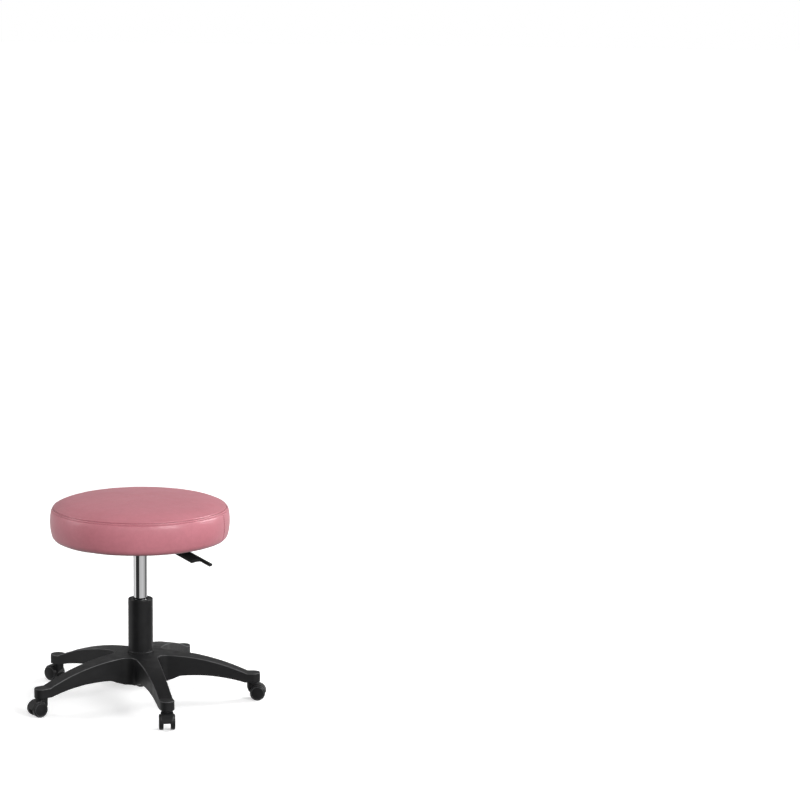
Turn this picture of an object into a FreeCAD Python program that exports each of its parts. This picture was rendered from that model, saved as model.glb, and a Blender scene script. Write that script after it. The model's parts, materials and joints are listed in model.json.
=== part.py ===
import FreeCAD, Part
import math
import os

import Sketcher

# Rolling salon stool with a round padded seat, a gas lift and a five-leg base on twin-wheel casters.
# Millimetres. +Z is up, the origin is on the floor under the column, and +X runs along the first leg.

doc = FreeCAD.newDocument("pedicure_stool")


# ---------------------------------------------------------------- driving dimensions

DIMENSIONS = {
    # five-leg base
    "leg_count": 5,
    "hub_bottom": 40.3,
    "hub_top": 96.6,
    "valley_radius": 51.9047,
    "valley_bend": 20.8420,
    "leg_start": 15,
    "leg_root": 57,
    "leg_crest": 34.4,
    "leg_top_end": 216,
    "leg_top_bend": 440,
    "leg_root_width": 44,
    "leg_tip_width": 28.6,
    "leg_taper_end": 205,
    "leg_side_bend": 2000,
    "leg_end": 242.3,
    "leg_end_corner": 13.5,
    "leg_wall": 4,
    "leg_edge_round": 2,
    "boss_top": 56.4,
    "boss_bottom": 37.4,
    "leg_under_start": 50,
    "leg_under_knee": 70,
    "leg_under_knee_level": 47.1,
    "leg_under_knee_bend": 43,
    "leg_under_rise": 84,
    "leg_under_rise_level": 52.1,
    "leg_under_end": 208,
    "leg_under_end_level": 38.7,
    "leg_under_bend": 352,
    "caster_circle": 226,
    "stem_hole_top": 54,
    "hub_wall": 5,
    "foot_ring_width": 1.2,
    "foot_ring_rise": 4.6,
    "hub_pocket_roof": 89,
    # outer tube and what is in it
    "tube_radius": 25,
    "tube_wall": 1.8,
    "tube_top": 208.4,
    "tube_bottom": 32.4,
    "tube_foot_radius": 24.1,
    "tube_floor": 3,
    "tube_boss_radius": 9.2,
    "tube_boss_drop": 5.2,
    "bush_bottom": 148.4,
    "bush_recess": 2,
    "rod_radius": 5,
    "rod_hole_gap": 0.3,
    "bearing_inner": 6,
    "bearing_outer": 14,
    "race_thickness": 1.5,
    "ball_radius": 2,
    "ball_circle": 10.5,
    "ball_count": 12,
    "collar_radius": 7.5,
    "collar_thickness": 2,
    "buffer_thickness": 3.4,
    "clip_radius": 9,
    "clip_thickness": 1.2,
    "clip_mouth": 6.4,
    "clip_groove_depth": 0.8,
    # gas cylinder
    "cylinder_radius": 14,
    "cylinder_wall": 2,
    "cylinder_bottom": 139.4,
    "cylinder_top": 322.4,
    "taper_start": 302.4,
    "taper_top_radius": 13.3,
    "running_gap": 0.05,
    "guide_length": 12,
    "seal_thickness": 4,
    "piston_bottom": 191.4,
    "piston_thickness": 10,
    "rod_top": 202.4,
    "rod_bottom": 23.6,
    "valve_bottom": 290.4,
    "valve_shoulder": 306.4,
    "pin_radius": 4,
    "pin_bottom": 293.4,
    "pin_top": 326,
    # seat mechanism
    "lever_turn": -33.5,
    "plate_size": 140,
    "plate_corner": 14,
    "plate_thickness": 2.5,
    "bolt_square": 110,
    "bolt_radius": 3,
    "bolt_head_radius": 5.5,
    "bolt_hole_radius": 3.3,
    "washer_radius": 6,
    "washer_thickness": 1.2,
    "nut_barrel_radius": 3.9,
    "nut_flange_radius": 9,
    "nut_flange_thickness": 1.3,
    "nut_length": 8,
    "socket_bottom": 305.4,
    "socket_radius": 19,
    "tub_bottom": 309.4,
    "tub_back": -34,
    "tub_front": 44,
    "tub_half_width": 24,
    "tub_wall": 2.5,
    "pivot_reach": 24,
    "pivot_level": 325.9,
    "pivot_radius": 2.5,
    # lever
    "arm_back": -6,
    "arm_bend": 64,
    "arm_width": 12,
    "arm_bottom": 326.4,
    "arm_thickness": 5,
    "tail_run": 44,
    "tail_drop": 14,
    "arm_boss_radius": 5.5,
    "handle_start": 16,
    "handle_end": 111.5,
    "handle_step": 81,
    "handle_width": 28,
    "handle_thickness": 8,
    "handle_tip_width": 9,
    "handle_tip_drop": 3,
    # seat
    "seat_bottom": 331.2,
    "board_bottom": 337.9,
    "board_thickness": 12,
    "board_radius": 162,
    "seam_radius": 174,
    "seam_level": 397.4,
    "crown_level": 416.9,
    "crown_knee": 140,
    "crown_knee_level": 409.6,
    "crown_edge_bend": 80,
    "band_top_radius": 178.3,
    "band_top_level": 384.4,
    "band_top_bend": 28,
    "band_bend": 110,
    "band_foot_radius": 176.8,
    "band_foot_level": 345.4,
    "foot_bend": 15,
    "foot_radius": 165,
    "flap_radius": 138,
    "cover_thickness": 1.5,
    "cloth_thickness": 0.8,
    "staple_count": 24,
    # casters
    "wheel_radius": 15.4,
    "wheel_inner_face": 7,
    "wheel_rim_face": 15.2,
    "wheel_crown_face": 16.2,
    "wheel_bore": 2.25,
    "wheel_ring_radius": 13.3,
    "caster_trail": 11.5,
    "caster_turn": -12,
    "axle_radius": 2.2,
    "axle_half_length": 13.4,
    "web_half_width": 6.7,
    "axle_boss_radius": 4.2,
    "hood_half_width": 12.4,
    "hood_radius": 17.5,
    "hood_inner_radius": 15.9,
    "hood_edge_level": 17,
    "neck_radius": 10.5,
    "neck_top": 35.6,
    "stem_radius": 5.5,
    "stem_bottom": 19.5,
    "stem_top": 53.5,
    "stem_collar_radius": 8,
}

sheet = doc.addObject("Spreadsheet::Sheet", "Sizes")
for row, (alias, number) in enumerate(DIMENSIONS.items(), start=1):
    sheet.set(f"A{row}", alias)
    sheet.set(f"B{row}", str(number))
    sheet.setAlias(f"B{row}", alias)
doc.recompute()


class Size:
    """A number together with the expression that gives it from the sheet."""

    def __init__(self, number, text):
        self.number = number
        self.text = text

    def __add__(self, other):
        return combine(self, "+", other)

    def __radd__(self, other):
        return combine(other, "+", self)

    def __sub__(self, other):
        return combine(self, "-", other)

    def __rsub__(self, other):
        return combine(other, "-", self)

    def __mul__(self, other):
        return combine(self, "*", other)

    def __rmul__(self, other):
        return combine(other, "*", self)

    def __truediv__(self, other):
        return combine(self, "/", other)

    def __neg__(self):
        return combine(0, "-", self)


def as_size(value):
    return value if isinstance(value, Size) else Size(value, repr(value))


def combine(left, sign, right):
    left = as_size(left)
    right = as_size(right)
    results = {
        "+": lambda: left.number + right.number,
        "-": lambda: left.number - right.number,
        "*": lambda: left.number * right.number,
        "/": lambda: left.number / right.number,
    }
    return Size(results[sign](), f"({left.text} {sign} {right.text})")


class Sizes:
    """Gives each driving dimension by its name, as S.hub_radius."""

    def __getattr__(self, alias):
        return Size(DIMENSIONS[alias], f"Sizes.{alias}")


S = Sizes()


# ---------------------------------------------------------------- modelling helpers

bodies = []


def new_body(label):
    body = doc.addObject("PartDesign::Body", label)
    body.Label = label
    bodies.append(body)
    return body


def origin_item(body, role):
    return next(item for item in body.Origin.OriginFeatures if item.Role == role)


def new_sketch(body, role="XZ_Plane", lift=None):
    """A sketch on one of the body's own planes, moved off it by lift along its normal."""
    sketch = body.newObject("Sketcher::SketchObject", "Sketch")
    sketch.AttachmentSupport = (origin_item(body, role), [""])
    sketch.MapMode = "FlatFace"
    if lift is not None:
        lift = as_size(lift)
        sketch.AttachmentOffset = FreeCAD.Placement(FreeCAD.Vector(0, 0, lift.number), FreeCAD.Rotation())
        sketch.setExpression("AttachmentOffset.Base.z", lift.text)
    return sketch


def constrain(sketch, kind, *where, value=None):
    if value is None:
        sketch.addConstraint(Sketcher.Constraint(kind, *where))
        return
    value = as_size(value)
    index = sketch.addConstraint(Sketcher.Constraint(kind, *where, value.number))
    if "Sizes." in value.text:
        sketch.setExpression(f"Constraints[{index}]", value.text)


def place_vertex(sketch, geometry, end, x, y):
    """Ties one vertex to the sketch's origin by its two coordinates."""
    for kind, axis, value in (("DistanceX", -2, as_size(x)), ("DistanceY", -1, as_size(y))):
        if value.number == 0:
            constrain(sketch, "PointOnObject", geometry, end, axis)
        else:
            constrain(sketch, kind, -1, 1, geometry, end, value=value)


def arc_between(start, end, radius):
    """The short arc from start to end: a positive radius turns it left, a negative one right."""
    chord = end - start
    middle = (start + end) / 2
    half = chord.Length / 2
    rise = abs(radius) - math.sqrt(radius * radius - half * half)
    side = FreeCAD.Vector(chord.y, -chord.x, 0).normalize()
    top = middle + side * math.copysign(rise, radius)
    return Part.Arc(start, top, end)


DOME = "dome"


def dome_radius(start, end):
    """The radius of a dome's section, whose centre is on the body's own axis."""
    run = abs(end.x - start.x)
    rise = abs(end.y - start.y)
    radius = (run * run + rise * rise) / (2 * rise)
    return radius if end.x < start.x else -radius


def outline(sketch, points):
    """A closed outline of points (x, y).

    A third value is the radius of the arc that leads to the point from the one before, or DOME for
    an arc that is centred on the vertical axis.
    """
    corners = [FreeCAD.Vector(as_size(p[0]).number, as_size(p[1]).number, 0) for p in points]
    count = len(points)
    edges = []
    for i, point in enumerate(points):
        start = corners[i - 1]
        if len(point) == 3:
            radius = dome_radius(start, corners[i]) if point[2] is DOME else as_size(point[2]).number
            curve = arc_between(start, corners[i], radius)
            turns_left = radius > 0
        else:
            curve = Part.LineSegment(start, corners[i])
            turns_left = True
        edges.append((sketch.addGeometry(curve, False), turns_left))
    for i, point in enumerate(points):
        edge, turns_left = edges[i]
        following, next_left = edges[(i + 1) % count]
        last = 2 if turns_left else 1
        first = 1 if next_left else 2
        constrain(sketch, "Coincident", edge, last, following, first)
        place_vertex(sketch, edge, last, point[0], point[1])
        if len(point) == 3 and point[2] is DOME:
            constrain(sketch, "PointOnObject", edge, 3, -2)
        elif len(point) == 3:
            bend = as_size(point[2])
            constrain(sketch, "Radius", edge, value=bend if turns_left else -bend)


def circle(sketch, x, y, radius):
    centre = FreeCAD.Vector(as_size(x).number, as_size(y).number, 0)
    ring = sketch.addGeometry(Part.Circle(centre, FreeCAD.Vector(0, 0, 1), as_size(radius).number), False)
    place_vertex(sketch, ring, 3, x, y)
    constrain(sketch, "Radius", ring, value=radius)


def bind(item, name, value):
    value = as_size(value)
    setattr(item, name, value.number)
    if "Sizes." in value.text:
        item.setExpression(name, value.text)


def feature(body, kind, sketch, **sizes):
    """Adds one sketch-based feature and makes it the tip."""
    item = body.newObject(f"PartDesign::{kind}", kind)
    item.Profile = sketch
    for name, value in sizes.items():
        if isinstance(value, (Size, int, float)) and not isinstance(value, bool):
            bind(item, name, value)
        else:
            setattr(item, name, value)
    sketch.Visibility = False
    body.Tip = item
    return item


def pad(body, sketch, length, both_sides=False, reverse=False):
    side = "Symmetric" if both_sides else "One side"
    return feature(body, "Pad", sketch, Length=length, SideType=side, Reversed=reverse)


def pocket(body, sketch, length, both_sides=False, reverse=True):
    """A cut along the sketch's normal by default, or half to each side."""
    side = "Symmetric" if both_sides else "One side"
    doc.recompute()
    before = body.Shape.Volume
    item = feature(body, "Pocket", sketch, Length=length, SideType=side, Reversed=reverse)
    doc.recompute()
    if body.Shape.Volume > before - 0.01:
        raise RuntimeError(f"a pocket of {body.Label} cuts nothing")
    return item


def revolve(body, points, kind="Revolution"):
    """Turns an outline of (radius, level) points about the body's vertical axis."""
    sketch = new_sketch(body, "XZ_Plane")
    outline(sketch, points)
    return feature(body, kind, sketch, ReferenceAxis=(sketch, ["V_Axis"]), Angle=360)


def turned(label, points):
    """A turned piece on the column's axis."""
    body = new_body(label)
    revolve(body, points)
    return body


def box_outline(x_low, x_high, y_low, y_high):
    return [(x_low, y_low), (x_high, y_low), (x_high, y_high), (x_low, y_high)]


def ring_outline(inner, outer, bottom, top):
    return box_outline(inner, outer, bottom, top)


def repeat_round(body, features, count, whole=False):
    """Repeats features, or the whole body so far, evenly about the vertical axis."""
    pattern = body.newObject("PartDesign::PolarPattern", "PolarPattern")
    if whole:
        pattern.TransformMode = "Whole shape"
    else:
        pattern.Originals = features
    pattern.Axis = (origin_item(body, "Z_Axis"), [""])
    pattern.Angle = 360
    bind(pattern, "Occurrences", count)
    body.Tip = pattern
    return pattern


def round_edges(body, radius, chosen, kind="Fillet"):
    """Rounds or bevels the edges of the body so far that chosen() picks."""
    doc.recompute()
    tip = body.Tip
    names = [f"Edge{i}" for i, edge in enumerate(tip.Shape.Edges, start=1) if chosen(edge, tip.Shape)]
    if not names:
        raise RuntimeError(f"no edge of {body.Label} is chosen")
    item = body.newObject(f"PartDesign::{kind}", kind)
    item.Base = (tip, names)
    bind(item, "Radius" if kind == "Fillet" else "Size", radius)
    body.Tip = item
    return item


def middle_of(edge):
    return edge.valueAt((edge.FirstParameter + edge.LastParameter) / 2)


def normals_at(edge, shape):
    """The normals of the faces that meet at an edge, at its middle."""
    point = middle_of(edge)
    found = []
    for face in shape.ancestorsOfType(edge, Part.Face):
        u, v = face.Surface.parameter(point)
        found.append(face.normalAt(u, v))
    return found


def is_upper_rim(edge, shape):
    """True where a face that looks up meets one that stands upright."""
    levels = sorted(normal.z for normal in normals_at(edge, shape))
    return len(levels) == 2 and abs(levels[0]) < 0.05 and levels[1] > 0.5


def turn_about_column(body, degrees):
    body.Placement = FreeCAD.Placement(
        FreeCAD.Vector(), FreeCAD.Rotation(FreeCAD.Vector(0, 0, 1), degrees))
    return body


# ---------------------------------------------------------------- five-leg base

# Each leg's underside is a row of open cells: (inner end, outer end, level of the roof)
LEG_CELLS = [
    (58, 84, 89),
    (87, 113, 85.5),
    (116, 142, 79.5),
    (145, 171, 71.5),
    (174, 202, 60.5),
]


def leg_half_width(reach):
    """Half the leg's width at a distance from the column, along its straight taper."""
    taper = (S.leg_root_width - S.leg_tip_width) / (S.leg_taper_end - S.leg_root) / 2
    return S.leg_root_width / 2 - taper * (reach - S.leg_root)


def leg_side_outline(sketch):
    """The leg seen from the side: arched top, flat boss, arched underside with a knee at the hub."""
    outline(sketch, [
        (S.leg_start / 3, S.hub_bottom),
        (S.leg_under_start, S.hub_bottom),
        (S.leg_under_knee, S.leg_under_knee_level),
        (S.leg_under_rise, S.leg_under_rise_level, -S.leg_under_knee_bend),
        (S.leg_under_end, S.leg_under_end_level, -S.leg_under_bend),
        (S.leg_under_end + 4, S.boss_bottom),
        (S.leg_end, S.boss_bottom),
        (S.leg_end, S.boss_top),
        (S.leg_top_end, S.boss_top),
        (S.leg_crest, S.hub_top, S.leg_top_bend),
        (S.leg_start / 3, S.hub_top),
    ])


def leg_plan_outline(sketch):
    """One leg and its share of the hub seen from above, out to the middle of the valley on each side."""
    half_step = math.pi / DIMENSIONS["leg_count"]
    along = math.cos(half_step)
    aside = math.sin(half_step)
    root = S.leg_root_width / 2
    tip = S.leg_tip_width / 2
    corner = S.leg_end_corner
    outline(sketch, [
        (S.leg_start * along, S.leg_start * -aside),
        (S.valley_radius * along, S.valley_radius * -aside),
        (S.leg_root, -root, -S.valley_bend),
        (S.leg_taper_end, -tip, -S.leg_side_bend),
        (S.leg_end - corner, -tip),
        (S.leg_end, corner - tip, corner),
        (S.leg_end, tip - corner),
        (S.leg_end - corner, tip, corner),
        (S.leg_taper_end, tip),
        (S.leg_root, root, -S.leg_side_bend),
        (S.valley_radius * along, S.valley_radius * aside, -S.valley_bend),
        (S.leg_start * along, S.leg_start * aside),
    ])


def is_leg_rim(edge, shape):
    """The upper edges of one leg, without those where its share of the hub meets the next."""
    middle = middle_of(edge)
    half_step = math.pi / DIMENSIONS["leg_count"]
    within = middle.x > S.tube_radius.number and abs(middle.y) < middle.x * math.tan(half_step) - 1
    return within and is_upper_rim(edge, shape)


def make_star_base():
    body = new_body("star_base")
    side = new_sketch(body, "XZ_Plane")
    leg_side_outline(side)
    pad(body, side, S.valley_radius * 2, both_sides=True)

    trim = new_sketch(body, "XY_Plane")
    outline(trim, box_outline(-10, S.leg_end + 20, -S.valley_radius - 10, S.valley_radius + 10))
    leg_plan_outline(trim)
    pocket(body, trim, S.hub_top + 20)
    round_edges(body, S.leg_edge_round, is_leg_rim)

    for inner, outer, roof in LEG_CELLS:
        cell = new_sketch(body, "XY_Plane")
        near = leg_half_width(inner) - S.leg_wall - 1
        far = leg_half_width(outer) - S.leg_wall - 1
        outline(cell, [(inner, -near), (outer, -far), (outer, far), (inner, near)])
        pocket(body, cell, roof)

    stem_hole = new_sketch(body, "XY_Plane")
    circle(stem_hole, S.caster_circle, 0, S.stem_radius + S.running_gap)
    pocket(body, stem_hole, S.stem_hole_top)
    repeat_round(body, None, S.leg_count, whole=True)

    foot_ring = S.tube_radius + S.foot_ring_width
    ring_top = S.hub_top + S.foot_ring_rise
    revolve(body, [
        (S.tube_radius - 3, S.hub_top - 5),
        (foot_ring, S.hub_top - 5),
        (foot_ring, ring_top - 1),
        (foot_ring - 1, ring_top, 1),
        (S.tube_radius - 3, ring_top),
    ])
    revolve(body, [
        (0, S.hub_bottom - 5),
        (S.tube_foot_radius, S.hub_bottom - 5),
        (S.tube_foot_radius, S.hub_bottom),
        (S.tube_radius, S.hub_top),
        (S.tube_radius, ring_top + 5),
        (0, ring_top + 5),
    ], "Groove")

    hub_pocket = new_sketch(body, "XY_Plane")
    inner = S.tube_radius + S.hub_wall
    outer = S.valley_radius - S.hub_wall - 3
    outline(hub_pocket, [
        (inner, -inner * 0.2),
        (outer, -outer * 0.24),
        (outer, outer * 0.24),
        (inner, inner * 0.2),
    ])
    cut = pocket(body, hub_pocket, S.hub_pocket_roof)
    repeat_round(body, [cut], S.leg_count * 2)
    return body


# ---------------------------------------------------------------- outer tube and thrust bearing

def make_tube_parts():
    tube_bore = S.tube_radius - S.tube_wall
    boss_bottom = S.tube_bottom - S.tube_boss_drop
    turned("outer_tube", [
        (S.rod_radius + S.rod_hole_gap, boss_bottom),
        (S.tube_boss_radius, boss_bottom),
        (S.tube_boss_radius, S.tube_bottom),
        (S.tube_foot_radius, S.tube_bottom),
        (S.tube_foot_radius, S.hub_bottom),
        (S.tube_radius, S.hub_top),
        (S.tube_radius, S.tube_top - 2),
        (S.tube_radius - 1.4, S.tube_top, 1.8),
        (tube_bore, S.tube_top),
        (tube_bore, S.hub_top),
        (S.tube_foot_radius - S.tube_wall, S.hub_bottom + S.tube_floor),
        (S.tube_foot_radius - S.tube_wall, S.tube_bottom + S.tube_floor),
        (S.rod_radius + S.rod_hole_gap, S.tube_bottom + S.tube_floor),
    ])
    bush_top = S.tube_top - S.bush_recess
    bush_bore = S.cylinder_radius + S.running_gap
    turned("guide_bush", [
        (bush_bore, S.bush_bottom),
        (tube_bore, S.bush_bottom),
        (tube_bore, bush_top),
        (bush_bore + 2, bush_top),
        (bush_bore, bush_top - 2),
    ])

    floor = S.tube_bottom + S.tube_floor
    turned("lower_bearing_race", ring_outline(
        S.bearing_inner, S.bearing_outer, floor, floor + S.race_thickness))
    ball_level = floor + S.race_thickness + S.ball_radius
    balls = new_body("bearing_balls")
    ball = balls.newObject("PartDesign::AdditiveSphere", "Ball")
    bind(ball, "Radius", S.ball_radius)
    ball.AttachmentOffset = FreeCAD.Placement(
        FreeCAD.Vector(S.ball_circle.number, 0, ball_level.number), FreeCAD.Rotation())
    ball.setExpression("AttachmentOffset.Base.x", S.ball_circle.text)
    ball.setExpression("AttachmentOffset.Base.z", ball_level.text)
    ball.AttachmentSupport = (origin_item(balls, "XY_Plane"), [""])
    ball.MapMode = "FlatFace"
    balls.Tip = ball
    repeat_round(balls, [ball], S.ball_count)
    race_bottom = ball_level + S.ball_radius
    race_top = race_bottom + S.race_thickness
    turned("upper_bearing_race", ring_outline(S.bearing_inner, S.bearing_outer, race_bottom, race_top))
    turned("rubber_buffer", ring_outline(
        S.collar_radius, S.bearing_outer, race_top, race_top + S.buffer_thickness))

    clip_top = boss_bottom - 0.2
    clip_bottom = clip_top - S.clip_thickness
    groove_floor = S.rod_radius - S.clip_groove_depth
    clip = new_body("retaining_clip")
    sketch = new_sketch(clip, "XY_Plane", lift=clip_bottom)
    circle(sketch, 0, 0, S.clip_radius)
    circle(sketch, 0, 0, groove_floor)
    pad(clip, sketch, S.clip_thickness)
    mouth = new_sketch(clip, "XY_Plane", lift=clip_bottom - 1)
    outline(mouth, box_outline(0, S.clip_radius + 3, -S.clip_mouth / 2, S.clip_mouth / 2))
    pocket(clip, mouth, S.clip_thickness + 2)

    turned("piston_rod", [
        (0, S.rod_bottom),
        (S.rod_radius - 0.6, S.rod_bottom),
        (S.rod_radius, S.rod_bottom + 0.6),
        (S.rod_radius, clip_bottom),
        (groove_floor, clip_bottom),
        (groove_floor, clip_top),
        (S.rod_radius, clip_top),
        (S.rod_radius, race_top),
        (S.collar_radius, race_top),
        (S.collar_radius, race_top + S.collar_thickness),
        (S.rod_radius, race_top + S.collar_thickness),
        (S.rod_radius, S.rod_top),
        (0, S.rod_top),
    ])


# ---------------------------------------------------------------- gas cylinder

def make_cylinder_parts():
    bore = S.cylinder_radius - S.cylinder_wall
    neck_bore = S.taper_top_radius - S.cylinder_wall
    turned("gas_cylinder", [
        (bore, S.cylinder_bottom),
        (S.cylinder_radius - 1, S.cylinder_bottom),
        (S.cylinder_radius, S.cylinder_bottom + 1, 1),
        (S.cylinder_radius, S.taper_start),
        (S.taper_top_radius, S.cylinder_top),
        (neck_bore, S.cylinder_top),
        (neck_bore, S.valve_shoulder),
        (bore, S.valve_shoulder),
    ])
    rod_hole = S.rod_radius + S.running_gap
    guide_top = S.cylinder_bottom + S.guide_length
    turned("cylinder_guide", ring_outline(rod_hole, bore, S.cylinder_bottom, guide_top))
    turned("rod_seal", [
        (rod_hole, guide_top),
        (bore, guide_top),
        (bore, guide_top + S.seal_thickness),
        (bore - 2, guide_top + S.seal_thickness),
        (bore - 3, guide_top + 1.5),
        (rod_hole + 1, guide_top + 1.5),
        (rod_hole, guide_top + S.seal_thickness),
    ])

    piston_radius = bore - S.running_gap * 3
    ring_seat = piston_radius - 1.5
    ring_bottom = S.piston_bottom + 3.5
    ring_top = ring_bottom + 3
    turned("piston", [
        (S.rod_radius, S.piston_bottom),
        (piston_radius, S.piston_bottom),
        (piston_radius, ring_bottom),
        (ring_seat, ring_bottom),
        (ring_seat, ring_top),
        (piston_radius, ring_top),
        (piston_radius, S.piston_bottom + S.piston_thickness),
        (S.rod_radius, S.piston_bottom + S.piston_thickness),
    ])
    turned("piston_ring", ring_outline(ring_seat, bore - S.running_gap, ring_bottom, ring_top))

    pin_hole = S.pin_radius + S.running_gap
    turned("valve_block", [
        (pin_hole, S.valve_bottom),
        (bore, S.valve_bottom),
        (bore, S.valve_shoulder),
        (neck_bore, S.valve_shoulder),
        (neck_bore, S.cylinder_top - 1),
        (pin_hole, S.cylinder_top - 1),
    ])
    dome_rise = 1
    turned("release_pin", [
        (0, S.pin_bottom),
        (S.pin_radius - 0.5, S.pin_bottom),
        (S.pin_radius, S.pin_bottom + 0.5),
        (S.pin_radius, S.pin_top - dome_rise),
        (0, S.pin_top, DOME),
    ])


# ---------------------------------------------------------------- seat mechanism

def turn_with_lever(body):
    """The seat stands turned so that its lever points away from the legs."""
    return turn_about_column(body, S.lever_turn.number)


def make_mechanism_parts():
    plate_top = S.board_bottom - S.cloth_thickness
    plate_bottom = plate_top - S.plate_thickness
    half = S.plate_size / 2
    bolt = S.bolt_square / 2

    plate = turn_with_lever(new_body("mounting_plate"))
    sketch = new_sketch(plate, "XY_Plane", lift=plate_bottom)
    outline(sketch, box_outline(-half, half, -half, half))
    for x in (-bolt, bolt):
        for y in (-bolt, bolt):
            circle(sketch, x, y, S.bolt_hole_radius)
    pad(plate, sketch, S.plate_thickness)
    round_edges(plate, S.plate_corner, lambda edge, shape: is_outer_upright(edge, half.number))

    tub = turn_with_lever(new_body("mechanism_tub"))
    wall = S.tub_wall
    sketch = new_sketch(tub, "XY_Plane", lift=S.tub_bottom)
    outline(sketch, box_outline(S.tub_back, S.tub_front, -S.tub_half_width, S.tub_half_width))
    pad(tub, sketch, plate_bottom - S.tub_bottom)
    round_edges(tub, 6, lambda edge, shape: is_upright(edge))
    sketch = new_sketch(tub, "XY_Plane", lift=S.tub_bottom + wall)
    outline(sketch, box_outline(S.tub_back + wall, S.tub_front - wall,
                                wall - S.tub_half_width, S.tub_half_width - wall))
    pocket(tub, sketch, 60)
    sketch = new_sketch(tub, "XY_Plane", lift=S.tub_bottom - 2)
    circle(sketch, 0, 0, S.socket_radius)
    pocket(tub, sketch, 8)
    sketch = new_sketch(tub, "YZ_Plane", lift=S.tub_front - 6)
    outline(sketch, box_outline(-8, 8, S.arm_bottom - 3, plate_bottom + 1))
    pocket(tub, sketch, 12)
    sketch = new_sketch(tub, "XZ_Plane")
    circle(sketch, S.pivot_reach, S.pivot_level, S.pivot_radius)
    pocket(tub, sketch, 80, both_sides=True)

    socket = turn_with_lever(new_body("taper_socket"))
    slope = (S.cylinder_radius - S.taper_top_radius) / (S.cylinder_top - S.taper_start)
    socket_top = S.tub_bottom + S.tub_wall + 6
    revolve(socket, [
        (S.cylinder_radius + 0.02, S.socket_bottom),
        (S.socket_radius, S.socket_bottom),
        (S.socket_radius, socket_top),
        (S.cylinder_radius + 0.02 - slope * (socket_top - S.taper_start), socket_top),
        (S.cylinder_radius + 0.02, S.taper_start),
    ])

    pin = turn_with_lever(new_body("lever_pivot_pin"))
    sketch = new_sketch(pin, "XZ_Plane")
    circle(sketch, S.pivot_reach, S.pivot_level, S.pivot_radius)
    pad(pin, sketch, (S.tub_half_width + 0.5) * 2, both_sides=True)
    sketch = new_sketch(pin, "XZ_Plane", lift=S.tub_half_width)
    circle(sketch, S.pivot_reach, S.pivot_level, S.pivot_radius + 1.5)
    pad(pin, sketch, 1.6)
    sketch = new_sketch(pin, "XZ_Plane", lift=-S.tub_half_width)
    circle(sketch, S.pivot_reach, S.pivot_level, S.pivot_radius + 1.5)
    pad(pin, sketch, 1.6, reverse=True)

    corner = bolt * math.sqrt(2)
    head_top = plate_bottom - S.washer_thickness
    add_bolt_ring("bolt_washers", corner, ring_outline(
        S.bolt_hole_radius, S.washer_radius, head_top, plate_bottom))
    socket_depth = 1.9
    socket_radius = 2
    head_bottom = head_top - 3.4
    bolt_top = S.board_bottom + S.board_thickness - 1
    add_bolt_ring("mounting_bolts", corner, [
        (0, head_bottom + socket_depth),
        (socket_radius, head_bottom + socket_depth),
        (socket_radius, head_bottom),
        (S.bolt_head_radius - 1.5, head_bottom),
        (S.bolt_head_radius, head_bottom + 1.6, 2.6),
        (S.bolt_head_radius, head_top),
        (S.bolt_radius, head_top),
        (S.bolt_radius, bolt_top),
        (0, bolt_top),
    ])
    board_top = S.board_bottom + S.board_thickness
    thread = S.bolt_radius + S.running_gap
    flange_top = board_top + S.nut_flange_thickness
    add_bolt_ring("t_nuts", corner, [
        (thread, board_top - S.nut_length),
        (S.nut_barrel_radius, board_top - S.nut_length),
        (S.nut_barrel_radius, board_top),
        (S.nut_flange_radius, board_top),
        (S.nut_flange_radius, flange_top),
        (thread, flange_top),
    ])


def add_bolt_ring(label, corner, points):
    """A group of four equal turned pieces, one at each corner of the bolt square."""
    body = new_body(label)
    turn_about_column(body, S.lever_turn.number + 45)
    piece = add_turned(body, corner, points)
    repeat_round(body, [piece], 4)


def add_turned(body, reach, points):
    """A turned piece about an upright axis at the given distance from the column."""
    sketch = new_sketch(body, "XZ_Plane")
    outline(sketch, [(reach + point[0], *point[1:]) for point in points])
    axis = sketch.addGeometry(Part.LineSegment(
        FreeCAD.Vector(as_size(reach).number, 0, 0), FreeCAD.Vector(as_size(reach).number, 50, 0)), True)
    constrain(sketch, "Vertical", axis)
    place_vertex(sketch, axis, 1, reach, 0)
    constrain(sketch, "DistanceY", axis, 1, axis, 2, value=50)
    return feature(body, "Revolution", sketch, ReferenceAxis=(sketch, ["Axis0"]), Angle=360)


def is_upright(edge):
    start, end = edge.Vertexes[0].Point, edge.Vertexes[-1].Point
    return abs(start.x - end.x) < 0.01 and abs(start.y - end.y) < 0.01 and abs(start.z - end.z) > 1


def is_outer_upright(edge, half):
    return is_upright(edge) and abs(abs(middle_of(edge).x) - half) < 0.01


# ---------------------------------------------------------------- lever

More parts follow.
